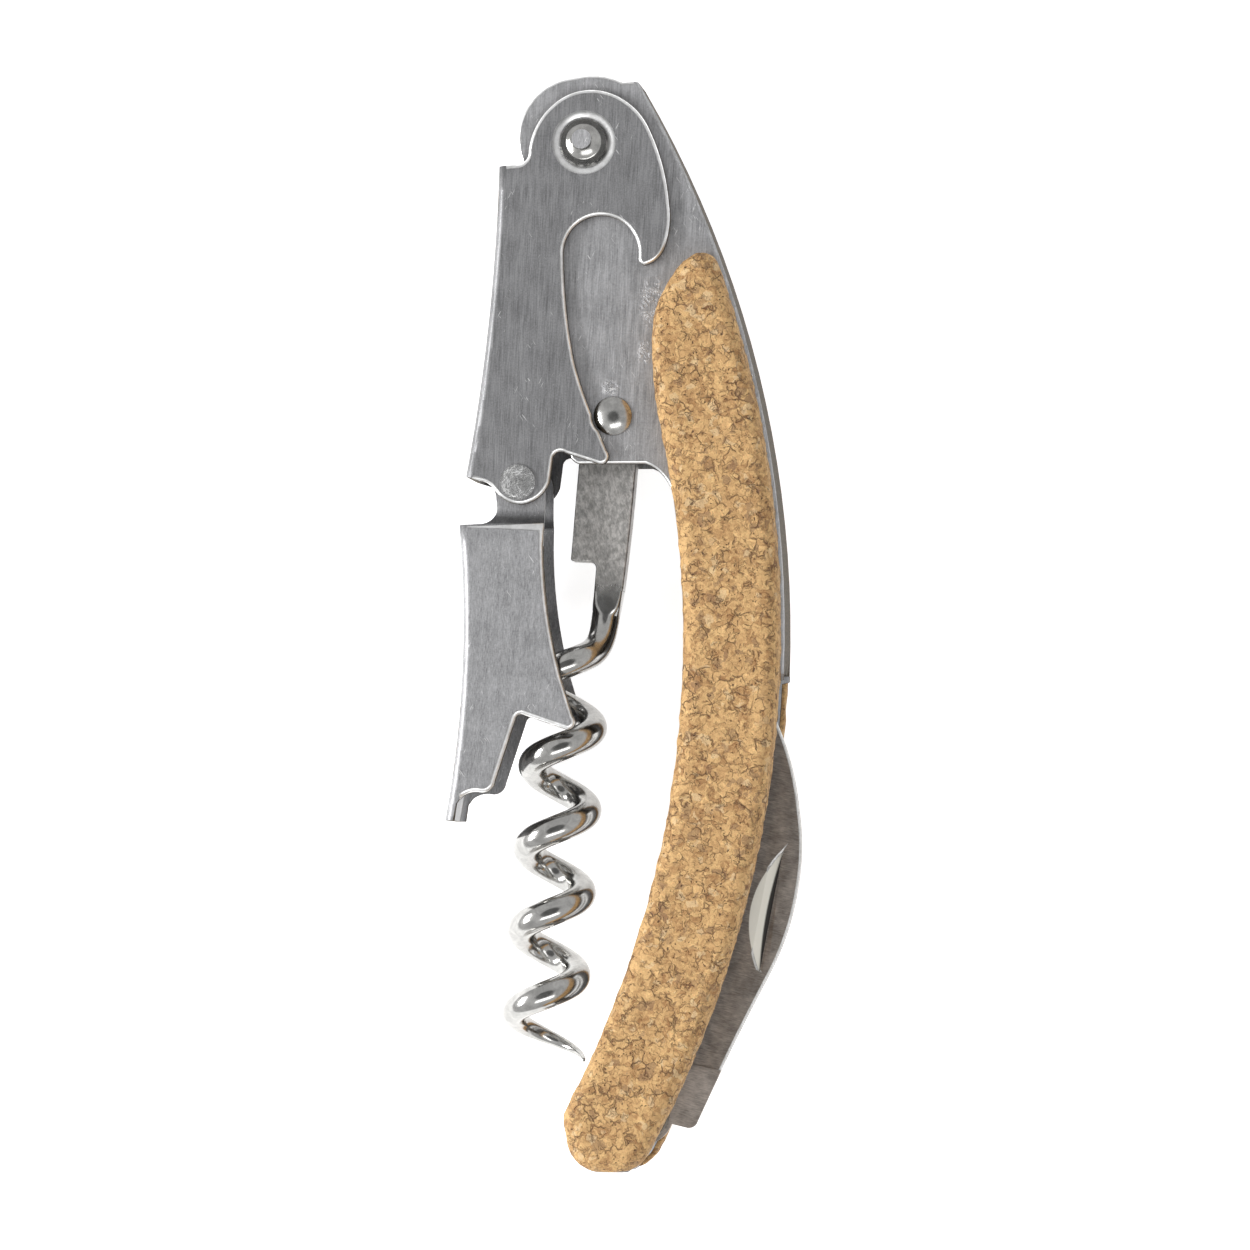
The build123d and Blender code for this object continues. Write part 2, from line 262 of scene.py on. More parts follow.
# ---------------------------------------------------------------- settings
class SteelSettings(bpy.types.PropertyGroup):
    sheet_colour: FloatVectorProperty(
        name="Sheet colour", description="Mean colour of the satin sheet",
        subtype="COLOR", size=3, default=(0.42, 0.42, 0.43), min=0, max=1)
    rim: FloatProperty(
        name="Rim", description="Radius of the sheets' tumbled edges, before each sheet's share",
        subtype="DISTANCE", unit="LENGTH", default=0.0004, min=0.0001, max=0.0006)
    rim_colour: FloatVectorProperty(
        name="Rim colour", description="Mean colour of the tumbled edges",
        subtype="COLOR", size=3, default=(0.93, 0.93, 0.92), min=0, max=1)
    # also the dark of the frame's web and of the blade washers, which is painted shade
    edge_and_shade_colour: FloatVectorProperty(
        name="Edge colour", description="Mean colour of the sheets' cut edges",
        subtype="COLOR", size=3, default=(0.15, 0.13, 0.105), min=0, max=1)
    wire_colour: FloatVectorProperty(
        name="Wire colour", description="Mean colour of the polished worm and rivets",
        subtype="COLOR", size=3, default=(0.46, 0.455, 0.44), min=0, max=1)
    tang_colour: FloatVectorProperty(
        name="Tang colour", description="Mean colour of the worm's flat tang",
        subtype="COLOR", size=3, default=(0.50, 0.49, 0.475), min=0, max=1)
    blade_colour: FloatVectorProperty(
        name="Blade colour", description="Mean colour of the ground blade",
        subtype="COLOR", size=3, default=(0.42, 0.37, 0.33), min=0, max=1)
    honed_colour: FloatVectorProperty(
        name="Honed colour", description="Mean colour of the blade's honed back",
        subtype="COLOR", size=3, default=(0.86, 0.84, 0.77), min=0, max=1)
    nick_colour: FloatVectorProperty(
        name="Nick colour", description="Colour of the bare nail nick",
        subtype="COLOR", size=3, default=(0.98, 0.95, 0.85), min=0, max=1)


class CorkSettings(bpy.types.PropertyGroup):
    pale: FloatVectorProperty(
        name="Pale granules", description="Colour of the lightest cork granules",
        subtype="COLOR", size=3, default=(0.74, 0.465, 0.20), min=0, max=1)
    deep: FloatVectorProperty(
        name="Deep granules", description="Colour of the darker cork granules",
        subtype="COLOR", size=3, default=(0.35, 0.17, 0.06), min=0, max=1)
    voxel: FloatProperty(
        name="Mesh pitch", description="Edge length of the cork's mesh",
        subtype="DISTANCE", unit="LENGTH", default=0.00027, min=0.0002, max=0.001)


class StageSettings(bpy.types.PropertyGroup):
    distance: FloatProperty(
        name="Camera distance", description="From the middle of the part to the camera",
        subtype="DISTANCE", unit="LENGTH", default=0.7, min=0.3, max=5.0)
    floor_colour: FloatVectorProperty(
        name="Floor colour", description="Colour of the pale floor",
        subtype="COLOR", size=3, default=(0.9, 0.9, 0.9), min=0, max=1)


# ---------------------------------------------------------------- stage
VIEW_WIDTH = 131.6 * MM           # across the picture at the part's middle plane
VIEW_CENTRE = Vector((-0.106, -0.145, 8.6)) * MM
VIEW_LEAN = Vector((0.0962, -0.0442, 1.0))
FAR_CLIP = 20.0

WORLD_GREY = 0.68
FLOOR_REACH = 3.0
FLOOR_GLOW = 0.75                 # the camera and reflections see it; it lights nothing
PANELS = (                        # name, bearing and lift in degrees, width, height, radiance
    ("left_key", 184, 29, 0.40, 0.12, 21.0),
    ("butt_window", 283, 56, 0.45, 0.14, 3.6),
)
PANEL_DISTANCE = 0.6
CARD_RADIUS, CARD_HEIGHT, CARD_CORNERS = 0.32, 0.75, 48
CARD_GREYS = (0.14, 0.18)


def add_panel(name, bearing, lift, width, height, radiance):
    """Soft box round the part, seen from it at a bearing from +X and a lift above the floor."""
    lamp = bpy.data.lights.new(name, "AREA")
    lamp.shape = "RECTANGLE"
    lamp.size, lamp.size_y = width, height
    lamp.energy = radiance * math.pi * width * height
    bearing, lift = math.radians(bearing), math.radians(lift)
    way = Vector((math.cos(lift) * math.cos(bearing), math.cos(lift) * math.sin(bearing),
                  math.sin(lift)))
    panel = bpy.data.objects.new(name, lamp)
    panel.location = way * PANEL_DISTANCE
    panel.rotation_euler = (-way).to_track_quat("-Z", "Y").to_euler()
    bpy.context.scene.collection.objects.link(panel)


def stage_piece(name, corners, material):
    """A flat piece of the studio."""
    mesh = bpy.data.meshes.new(name)
    mesh.from_pydata(corners, [], [range(len(corners))])
    mesh.materials.append(material)
    piece = bpy.data.objects.new(name, mesh)
    bpy.context.scene.collection.objects.link(piece)


def card_material():
    """Matt grey card with slow clouding."""
    shader = Shader("grey_card")
    low, high = ([grey] * 3 for grey in CARD_GREYS)
    shader.set(Base_Color=shader.mix(shader.grain(0.002, 2.0, 0.5), low, high), Roughness=0.9)
    return shader.material


def floor_material(colour):
    """Pale floor that shows as white and still holds the part's shadow."""
    shader = Shader("pale_floor")
    camera, glossy, clear = (shader.node("ShaderNodeLightPath", output=f"Is {kind} Ray")
                             for kind in ("Camera", "Glossy", "Transmission"))
    shader.set(Base_Color=(*colour, 1.0), Roughness=0.9, Emission_Strength=1.0)
    shader.set(Emission_Color=shader.mix(camera.most(glossy).most(clear), (0, 0, 0),
                                         [FLOOR_GLOW] * 3))
    return shader.material


def add_camera(distance):
    """Camera that looks down on the part from a slight lean."""
    lens = bpy.data.cameras.new("camera")
    lens.sensor_width = 36.0
    lens.lens = lens.sensor_width * distance / VIEW_WIDTH
    lens.clip_end = FAR_CLIP
    toward = VIEW_LEAN.normalized()
    right = Vector((toward.z, 0, -toward.x)).normalized()
    turn = Matrix((right, toward.cross(right), toward)).transposed()
    camera = bpy.data.objects.new("camera", lens)
    camera.matrix_world = Matrix.Translation(VIEW_CENTRE + toward * distance) @ turn.to_4x4()
    bpy.context.scene.collection.objects.link(camera)
    bpy.context.scene.camera = camera


class CORKSCREW_OT_stage(bpy.types.Operator):
    """Pale floor, overhead card, soft lamps, plain world and the camera"""
    bl_idname = "corkscrew.stage"
    bl_label = "Stage"

    def execute(self, context):
        settings = context.scene.corkscrew_stage
        context.scene.view_settings.view_transform = "Standard"
        corners = [(x * FLOOR_REACH, y * FLOOR_REACH, 0)
                   for x, y in ((-1, -1), (1, -1), (1, 1), (-1, 1))]
        stage_piece("floor", corners, floor_material(settings.floor_colour))
        angles = [math.tau * step / CARD_CORNERS for step in range(CARD_CORNERS)]
        rim = [(CARD_RADIUS * math.cos(angle), CARD_RADIUS * math.sin(angle), CARD_HEIGHT)
               for angle in angles]
        stage_piece("overhead_card", rim, card_material())
        world = bpy.data.worlds.new("studio")
        context.scene.world = world
        world.use_nodes = True
        background = world.node_tree.nodes["Background"]
        background.inputs["Color"].default_value = (WORLD_GREY, WORLD_GREY, WORLD_GREY, 1)
        for panel in PANELS:
            add_panel(*panel)
        add_camera(settings.distance)
        return {"FINISHED"}


# ---------------------------------------------------------------- steels
SCRATCHES = ((0.45, 0.02), (-0.6, 0.014))             # lean in radians, width in noise
SCRATCH_COLOUR = (0.9, 0.9, 0.9)


def satin_steel(name, colour, brush=0.35, extra=None):
    """Rolled sheet with a fine lengthwise grain, clouding and a few short scratches."""
    shader = Shader(name)
    fine = shader.grain(1.0, 4.0, 0.62, stretch=(11.0, brush, 11.0), turn=0.06)
    coarse = shader.grain(1.0, 3.0, 0.55, stretch=(2.4, 0.2, 2.4), turn=0.06)
    cloud = shader.grain(0.35, 4.0, 0.6)
    speck = shader.grain(5.5, 3.0, 0.65)
    tone = fine * 0.6 + coarse * 0.25 + cloud * 0.25 + speck * 0.35
    shade = shader.mix(tone.over(0.42, 1.03), *around(colour, 0.5, 1.5))
    patch = shader.grain(0.25, 2.0, 0.5).over(0.5, 0.6)
    for lean, width in SCRATCHES:
        scratch = shader.grain(1.0, 0.0, 0.4, stretch=(9.0, 0.7, 9.0), turn=lean)
        shade = shader.mix(scratch.over(0.78, 0.78 + width) * patch * 0.7, shade, SCRATCH_COLOUR)
    normal = shader.bump(fine * 0.6 + speck * 0.4, 0.02 * MM, 0.5)
    if extra:
        shade, normal = extra(shader, shade, normal)
    shader.set(Metallic=0.45, Base_Color=shade, Roughness=0.32 + fine * 0.16, Normal=normal)
    return shader.material


def polished_steel(name, colour, roughness, dent=0.0, wear=0.3):
    """Bright steel, worn on a fine scale; dents make it look hammered."""
    shader = Shader(name)
    cloud = shader.grain(0.9, 4.0, 0.6)
    fine = shader.grain(9.0, 2.0, 0.6)
    normal = shader.bump(fine, 0.004 * MM, wear)
    if dent:
        normal = shader.bump(shader.grain(1.2, 3.0, 0.55), dent, 1.0, normal)
    shader.set(Metallic=1.0, Base_Color=shader.mix(cloud.over(0.3, 0.7), *around(colour, 0.8, 1.18)))
    shader.set(Roughness=roughness + fine * 0.1, Normal=normal)
    return shader.material


def dull_steel(name, colour):
    """Torn and slightly tarnished steel, as on a cut edge; on the frame's web and the blade washers
    its dark is painted shade.
    """
    shader = Shader(name)
    tears = shader.grain(1.0, 4.0, 0.7, stretch=(3.0, 3.0, 0.6))
    shader.set(Base_Color=shader.mix(tears.over(0.35, 0.65), *around(colour, 0.8, 1.25)))
    shader.set(Metallic=0.1, Specular_IOR_Level=0.2, Roughness=0.6 + tears * 0.3)
    shader.set(Normal=shader.bump(tears, 0.03 * MM, 0.6))
    return shader.material


# ---------------------------------------------------------------- frame, arm and foot
GLUE = (                          # middle and half sizes in millimetres
    (3.4, 33.4, 1.9, 3.4),
    (-1.2, 24.6, 1.2, 1.0),
    (2.4, 28.2, 0.9, 1.6),
)
GLUE_PALE, GLUE_DARK = (0.85, 0.85, 0.84), (0.08, 0.08, 0.08)
JOGGLE_Y = 10.3                   # the ledge of the foot's ears, in the part's own millimetres
# colour of the painted shade above the foot's joggle
LEDGE_SHADE_COLOUR = (0.03, 0.03, 0.03)


def glue_smear(shader, shade, normal):
    """Dried glue beside the cork's crown, as fine bright and dark ripples."""
    ripples = shader.grain(1.0, 5.0, 0.75, distortion=1.2, stretch=(1.1, 4.2, 1.0))
    share = 0.0
    for x, y, wide, high in GLUE:
        off = shader.vector("SUBTRACT", shader.place(), (x, y, 0))
        near = shader.vector("MULTIPLY", off, (1 / wide, 1 / high, 0))
        share = (1 - shader.vector("LENGTH", near, output=1).over(0.45, 1.1)) + share
    share = share * shader.grain(1.4, 3.0, 0.6).over(0.42, 0.58)
    shade = shader.mix(ripples.over(0.55, 0.62) * share * 0.8, shade, GLUE_PALE)
    shade = shader.mix((1 - ripples.over(0.38, 0.45)) * share * 0.6, shade, GLUE_DARK)
    return shade, shader.bump(ripples * share, 0.12 * MM, 0.9, normal)


def ledge_painted_shade(shader, shade, normal):
    """Painted shade in the corner above the foot's joggle, darkest just above the ledge and fading
    upwards.
    """
    along = shader.along("Y")
    share = ((1 - along.over(JOGGLE_Y + 0.4, JOGGLE_Y + 1.8))
             * along.over(JOGGLE_Y - 0.25, JOGGLE_Y + 0.15))
    share = share * (0.7 + shader.grain(1.2, 3.0, 0.6) * 0.3)
    return shader.mix(share, shade, LEDGE_SHADE_COLOUR), normal


NO_END = -1.0                     # metres, past any piece
SHEETS = (                        # node, body, share of the rim, tone, rims' end in Y, brush, extra
    ("handle_frame", "handle", 0.7, 0.95, 10.0 * MM, 0.35, glue_smear),
    ("lever_arm", "lever", 0.95, 0.62, NO_END, 0.35, None),
    ("lever_foot", "foot", 1.2, 0.92, -18.6 * MM, 1.4, ledge_painted_shade),
)
RIM_SEGMENTS = 4
SHARP = 0.5                       # radians; a rim turns by more than this
TINY_EDGE, SHORT_EDGE = 0.13 * MM, 0.55 * MM
FOLD_Z = (0.05, 0.9999)           # the Z of a normal on a fold lies between these
CUT_EDGE_WIDTH = 1.4 * MM         # over the thickest sheet's 1 mm
ACROSS_WEB = 0.6                  # a cut edge of a web has a normal whose Y is over this

HOLLOW_REACH = 3.32 * MM
HOLLOW_Z = (0.9, 0.99995)         # the Z of a normal in the CAD's hollows lies between these
HOLLOW_STEPS = 72
HOLLOW = (                        # radius and rise in millimetres, from the outside in
    (3.36, 0.004), (3.24, -0.006), (3.08, -0.04), (2.9, -0.095), (2.7, -0.165),
    (2.45, -0.25), (1.6, -0.26),
)

WEB_END = -6.1 * MM               # where the frame's open back begins
WEB_STEP = 0.25 * MM              # the walls come in over this length
WEB_SLACK = 0.1 * MM
BACK_INSET = 0.75                 # millimetres
INSET_X = 0.8                     # millimetres; the inset grows to its full depth over the next one
RIVET_KEEP = 2.0 * MM             # the wall stays as it is this near the blade's rivet


def rim_edges(bm, node, limit):
    """Edges round a sheet's two faces, up to where a fold runs out or a limit in Y is passed."""
    low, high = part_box(node)

    def on_face(vert):
        return min(vert.co.z - low[2], high[2] - vert.co.z) < WELD

    def at_fold(vert):
        return any(FOLD_Z[0] < abs(face.normal.z) < FOLD_Z[1] for face in vert.link_faces)

    def candidates():
        return [edge for edge in bm.edges
                if len(edge.link_faces) == 2 and edge.calc_face_angle(0) > SHARP
                and all(on_face(vert) for vert in edge.verts)]

    tiny = {vert for edge in candidates() if edge.calc_length() < TINY_EDGE
            for vert in edge.verts}
    bmesh.ops.remove_doubles(bm, verts=list(tiny), dist=TINY_EDGE)
    bm.normal_update()
    return [edge for edge in candidates() if min(vert.co.y for vert in edge.verts) > limit
            and not (edge.calc_length() < SHORT_EDGE and any(at_fold(vert) for vert in edge.verts))]


def deepen_hollows(bm):
    """Steeper hollows round the lever's rivet than the CAD's, one in each wall."""
    pivot = middle("lever_rivet")
    low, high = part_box("lever_arm")

    def in_hollow(face):
        return (HOLLOW_Z[0] < abs(face.normal.z) < HOLLOW_Z[1]
                and all((vert.co.xy - pivot.xy).length < HOLLOW_REACH for vert in face.verts))

    bmesh.ops.delete(bm, geom=[face for face in bm.faces if in_hollow(face)], context="FACES")
    angles = [math.tau * step / HOLLOW_STEPS for step in range(HOLLOW_STEPS)]
    for level, side in ((low[2], -1), (high[2], 1)):
        rows = [[bm.verts.new((pivot.x + radius * MM * math.cos(angle),
                               pivot.y + radius * MM * math.sin(angle),
                               level + side * rise * MM)) for angle in angles]
                for radius, rise in HOLLOW]
        skin(bm, rows, inward=side < 0, material=1)


def mark_walls(bm, node):
    """Gives the duller material to cut edges, and to the frame's web, where its dark is painted
    shade.
    """
    for face in bm.faces:
        if abs(face.normal.z) < WALL:
            spans = [max(vert.co[axis] for vert in face.verts)
                     - min(vert.co[axis] for vert in face.verts) for axis in range(3)]
            across_web = abs(face.normal.y) > ACROSS_WEB and max(spans[:2]) < CUT_EDGE_WIDTH
            # every wall of the frame, its web too, gets the dark steel as painted shade
            if node == "handle_frame" or spans[2] < CUT_EDGE_WIDTH or across_web:
                face.material_index = 2


def trim_back(bm):
    """Draws the frame's walls in behind the scales, along the open part of the back."""
    for level in (WEB_END, WEB_END - WEB_STEP):
        cut_through(bm, (0, level, 0), (0, 1, 0))
    bm.normal_update()
    hole = middle("blade_rivet")
    moves = {}
    for face in bm.faces:
        if abs(face.normal.z) < WALL and face.normal.x > FACES_BACK:
            for vert in face.verts:
                past_web = vert.co.y < WEB_END - WEB_SLACK
                if past_web and (vert.co.xy - hole.xy).length > RIVET_KEEP:
                    moves[vert] = face.normal.copy()
    for vert, normal in moves.items():
        share = min(1.0, max(0.0, vert.co.x / MM - INSET_X))
        vert.co -= Vector((normal.x, normal.y, 0)).normalized() * BACK_INSET * share * MM


class CORKSCREW_OT_sheets(bpy.types.Operator):
    """Frame, arm and foot, with satin faces, bright rounded rims and dull cut edges"""
    bl_idname = "corkscrew.sheets"
    bl_label = "Frame and levers"

    def execute(self, context):
        settings = context.scene.corkscrew_steel
        bright = polished_steel("rim_steel", settings.rim_colour, 0.26, wear=0.05)
        cut_edge_and_shade = dull_steel("cut_edge_and_painted_shade", settings.edge_and_shade_colour)
        for node, body, share, tone, limit, brush, extra in SHEETS:
            bm = cad_copy(node)
            if node == "handle_frame":
                trim_back(bm)
            round_off(bm, rim_edges(bm, node, limit), settings.rim * share, RIM_SEGMENTS)
            bm.normal_update()
            mark_walls(bm, node)
            if node == "lever_arm":
                deepen_hollows(bm)
            colour = [tone * part for part in settings.sheet_colour]
            satin = satin_steel(node + "_steel", colour, brush, extra)
            stand_in(bm, node, body, "satin_steel", satin, bright, cut_edge_and_shade)
        return {"FINISHED"}


class CORKSCREW_OT_spacers(bpy.types.Operator):
    """Satin spacers and worm washers, and blade washers in dark dull steel, as painted shade round
    the blade's pivot
    """
    bl_idname = "corkscrew.spacers"
    bl_label = "Spacers and washers"

    def execute(self, context):
        settings = context.scene.corkscrew_steel
        dress(("lever_spacer", "foot_spacer", "worm_washer_front", "worm_washer_rear"),
              satin_steel("spacer_steel", settings.sheet_colour))
        # the blade washers are made dark as painted shade between the blade's tang and the walls
        dress(("blade_washer_front", "blade_washer_rear"),
              dull_steel("washer_painted_shade", settings.edge_and_shade_colour))
        return {"FINISHED"}


# ---------------------------------------------------------------- rivets
DOME_R, DOME_RISE, FACET_R = 1.95, 0.7, 1.05          # millimetres
FACET_LEAN = Vector((-0.07, 0.10, 1.0)).normalized()
DENT = 0.14 * MM


def flattened_head():
    """The lever's rivet with a small worn flat on its front dome."""
    bm = cad_copy("lever_rivet")
    top = Vector((*middle("lever_rivet").xy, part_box("lever_rivet")[1][2]))
    ball = (DOME_R ** 2 + DOME_RISE ** 2) / (2 * DOME_RISE)
    reach = math.sqrt(ball ** 2 - FACET_R ** 2)
    cut_through(bm, top + (FACET_LEAN * reach - Vector((0, 0, ball))) * MM, FACET_LEAN,
                clear_outer=True)
    for face in close_cuts(bm):
        face.material_index = 1
    return bm


class CORKSCREW_OT_rivets(bpy.types.Operator):
    """Polished rivets, with a worn flat on the lever's and dents on the foot's"""
    bl_idname = "corkscrew.rivets"
    bl_label = "Rivets"

    def execute(self, context):
        settings = context.scene.corkscrew_steel
        dress(("worm_rivet", "blade_rivet"),
              polished_steel("rivet_steel", settings.wire_colour, 0.16))
        dress(("foot_rivet",), polished_steel("hammered_steel", settings.rim_colour, 0.22, DENT))
        stand_in(flattened_head(), "lever_rivet", "handle", "polished_steel",
                 polished_steel("head_steel", settings.wire_colour, 0.14),
                 satin_steel("facet_steel", settings.sheet_colour))
        return {"FINISHED"}


# ---------------------------------------------------------------- worm
WIRE_R, COIL_OUTER_R, PITCH = 1.5, 4.55, 8.7          # millimetres, as are all the worm's lengths
FIRST_TURN, TAPER_TURN, LAST_TURN = 0.12, 4.25, 5.0
TIP_R, TAPER_POWER = 0.15, 1.6
WORM_LEAN = math.radians(3.78)
WORM_TOP = Vector((-2.06, -52.5, 0))                  # from the lever's pivot
SHANK_TOP, SHANK_END = Vector((2.22, -46.5, 0)), Vector((1.82, -49.3, 0))
TANG_SHARE = 0.15                                     # how far down the shank the CAD's tang goes
BEND_REACH = 1.15                                     # fullness of the bend below the shank
RING_POINTS, TURN_RINGS, SHANK_RINGS, BEND_RINGS = 40, 64, 8, 28

WORM_DOWN = Vector((-math.sin(WORM_LEAN), -math.cos(WORM_LEAN), 0))
WORM_RIGHT = Vector((math.cos(WORM_LEAN), -math.sin(WORM_LEAN), 0))
TOWARD_FRONT = Vector((0, 0, 1))
RIGHT = Vector((1, 0, 0))


def outward(turn):
    """Radial direction of the coil after a number of turns."""
    angle = math.tau * turn
    return WORM_RIGHT * math.cos(angle) + TOWARD_FRONT * math.sin(angle)


def coil_ring(turn):
    """Centre, direction, radial vector and radius of the coiled wire."""
    share = max(0.0, (turn - TAPER_TURN) / (LAST_TURN - TAPER_TURN))
    radius = WIRE_R + (TIP_R - WIRE_R) * share ** TAPER_POWER
    centre_r = COIL_OUTER_R - radius
    centre = WORM_TOP + WORM_DOWN * (PITCH * turn) + outward(turn) * centre_r
    way = (WORM_DOWN * PITCH + outward(turn + 0.25) * (math.tau * centre_r)).normalized()
    return centre, way, outward(turn), radius


def worm_stations():
    """Centre, direction, radial vector, radius and flatness along the wire, down to its point."""
    start, start_way, start_radial, _ = coil_ring(FIRST_TURN)
    down = (SHANK_END - SHANK_TOP).normalized()
    reach = (start - SHANK_END).length * BEND_REACH
    stations = []
    for step in range(SHANK_RINGS):
        share = step / SHANK_RINGS
        stations.append((SHANK_TOP.lerp(SHANK_END, share), down, RIGHT, WIRE_R, 1 - share))
    for step in range(BEND_RINGS):
        t = step / BEND_RINGS
        shares = (2 * t ** 3 - 3 * t ** 2 + 1, t ** 3 - 2 * t ** 2 + t,
                  3 * t ** 2 - 2 * t ** 3, t ** 3 - t ** 2)
        parts = (SHANK_END, down * reach, start, start_way * reach)
        centre = sum((part * share for part, share in zip(parts, shares)), Vector())
        way = down.lerp(start_way, t).normalized()
        stations.append((centre, way, RIGHT.lerp(start_radial, t), WIRE_R, 0))
    count = round((LAST_TURN - FIRST_TURN) * TURN_RINGS)
    for step in range(count + 1):
        turn = FIRST_TURN + (LAST_TURN - FIRST_TURN) * step / count
        stations.append((*coil_ring(turn), 0))
    return stations


def worm_ring(centre, way, radial, radius, flat):
    """Points round the wire, squarer where it is flat."""
    across = (radial - way * radial.dot(way)).normalized()
    front = way.cross(across)
    power = 2 / (2 + 10 * flat)
    ring = []
    for corner in range(RING_POINTS):
        angle = math.tau * corner / RING_POINTS
        x, y = (math.copysign(abs(part) ** power, part)
                for part in (math.cos(angle), math.sin(angle)))
        ring.append(centre + (across * x + front * y) * radius)
    return ring


def tang_foot():
    """Where the tang ends and the finished wire begins."""
    return middle("lever_rivet") + SHANK_TOP.lerp(SHANK_END, TANG_SHARE) * MM


def finished_worm():
    """The CAD's tang down to its foot, and a smooth wire from there."""
    bm = cad_copy("worm")
    cut_through(bm, tang_foot(), (0, 1, 0), clear_inner=True)
    close_cuts(bm)
    pivot = middle("lever_rivet")
    rows = [[bm.verts.new(pivot + point * MM) for point in worm_ring(*station)]
            for station in worm_stations()]
    skin(bm, rows)
    bm.faces.new(reversed(rows[0]))
    bm.faces.new(rows[-1])
    bmesh.ops.recalc_face_normals(bm, faces=bm.faces)
    return bm


def worm_steel(tang_colour, wire_colour, foot_y):
    """Mottled flat tang that turns into polished wire below its foot."""
    shader = Shader("worm_steel")
    fine = shader.grain(1.0, 4.0, 0.7, stretch=(4.0, 1.6, 4.0), turn=-0.2)
    cloud = shader.grain(0.9, 4.0, 0.7, distortion=0.6)
    flat = shader.along("Y").over(foot_y - 2.0, foot_y + 3.0)
    mottle = fine * 0.55 + cloud * 0.45
    tang = shader.mix(mottle.over(0.35, 0.68), *around(tang_colour, 0.6, 1.5))
    wire = shader.mix(cloud.over(0.3, 0.7), *around(wire_colour, 0.85, 1.15))
    shader.set(Metallic=1.0 - flat * 0.5, Base_Color=shader.mix(flat, wire, tang))
    shader.set(Roughness=0.12 + flat * 0.2 + fine * 0.1, Normal=shader.bump(fine, 0.012 * MM, 0.3))
    return shader.material


class CORKSCREW_OT_worm(bpy.types.Operator):
    """Worm with its tang and a smooth polished wire"""
    bl_idname = "corkscrew.worm"
    bl_label = "Worm"

    def execute(self, context):
        settings = context.scene.corkscrew_steel
        stand_in(finished_worm(), "worm", "worm", "polished_steel",
                 worm_steel(settings.tang_colour, settings.wire_colour, tang_foot().y / MM))
        return {"FINISHED"}


# ---------------------------------------------------------------- blade
HONE_WIDTH = 0.28 * MM
HEEL_Y = -47.0 * MM               # the honing stops above the heel
GRIND_Y = -46.6                   # where the grind ends, in the part's own millimetres
NICK_TOP, NICK_FOOT = Vector((16.56, -24.05)), Vector((14.08, -36.65))    # its straight side, mm
NICK_BULGE, NICK_SHADOW_WIDTH = 2.2, 0.5                     # millimetres at its middle: the lens's bulge, and the width of its painted shadow band
# colour of the painted shadow of the nick's steep wall
NICK_SHADOW_COLOUR = (0.04, 0.038, 0.034)
BLADE_MID_Z = 8.6


def honed_blade():
    """The blade with the edges of its back rounded."""
    bm = cad_copy("blade")

    def honed(edge):
        steep = sorted(edge.link_faces, key=lambda face: abs(face.normal.z))
        return (len(steep) == 2 and abs(steep[0].normal.z) < WALL < LEVEL < abs(steep[1].normal.z)
                and steep[0].normal.x > FACES_BACK
                and min(vert.co.y for vert in edge.verts) > HEEL_Y)

    round_off(bm, [edge for edge in bm.edges if honed(edge)], HONE_WIDTH, 2)
    return bm


def bare_nick(shader, shade, colour):
    """The blade's colour with the nail nick's pale lens on it, a painted shadow of the nick's steep
    wall along one side, and the lens's share.
    """
    x, y, z = (shader.along(axis) for axis in "XYZ")
    length = (NICK_FOOT - NICK_TOP).length
    way = (NICK_FOOT - NICK_TOP) / length
    along = (x - NICK_TOP.x) * way.x + (y - NICK_TOP.y) * way.y
    off = (x - NICK_TOP.x) * way.y - (y - NICK_TOP.y) * way.x
    arc = along * (length - along) * (4 / length ** 2)
    front = z.over(BLADE_MID_Z, BLADE_MID_Z + 0.05)
    lens = (arc * NICK_BULGE - off).over(-0.06, 0.06) * off.over(-0.06, 0.06) * front
    # the nick's pale floor, with a painted shadow band along its steep side
    floor = shader.mix((arc * NICK_SHADOW_WIDTH - off).over(-0.1, 0.1), colour, NICK_SHADOW_COLOUR)
    return shader.mix(lens, shade, floor), lens


def blade_steel(colour, nick_colour):
    """Ground blade, dark along the grind and paler on its heel."""
    shader = Shader("ground_steel")
    fine = shader.grain(1.0, 4.0, 0.6, stretch=(1.2, 8.0, 1.2), turn=0.25)
    cloud = shader.grain(0.5, 4.0, 0.65)
    heel = 1 - shader.along("Y").over(GRIND_Y - 0.3, GRIND_Y)
    tone = fine * 0.5 + cloud * 0.5 + heel * 0.07
    shade = shader.mix(tone.over(0.32, 0.8), *around(colour, 0.55, 1.6))
    shade, lens = bare_nick(shader, shade, nick_colour)
    shader.set(Metallic=0.7 - lens * 0.6, Base_Color=shade)
    shader.set(Roughness=0.3 + fine * 0.12, Normal=shader.bump(fine, 0.012 * MM, 0.4))
    return shader.material


class CORKSCREW_OT_blade(bpy.types.Operator):
    """Ground blade with a pale nail nick and a honed back"""
    bl_idname = "corkscrew.blade"
    bl_label = "Blade"

    def execute(self, context):
        settings = context.scene.corkscrew_steel
        stand_in(honed_blade(), "blade", "blade", "polished_steel",
                 blade_steel(settings.blade_colour, settings.nick_colour),
                 satin_steel("honed_steel", settings.honed_colour))
        return {"FINISHED"}


# ---------------------------------------------------------------- cork
SCALES = ("front_cork_scale", "rear_cork_scale")
CORK_RELIEF = (("CLOUDS", 1.4, 0.16), ("VORONOI", 1.3, 0.18))     # kind, size and depth in mm
BARK_GRANULE, PALE_GRANULE = (0.22, 0.12, 0.065), (0.80, 0.58, 0.32)
SEAM_COLOUR, PIT_SHADE_COLOUR = (0.17, 0.075, 0.03), (0.10, 0.045, 0.02)


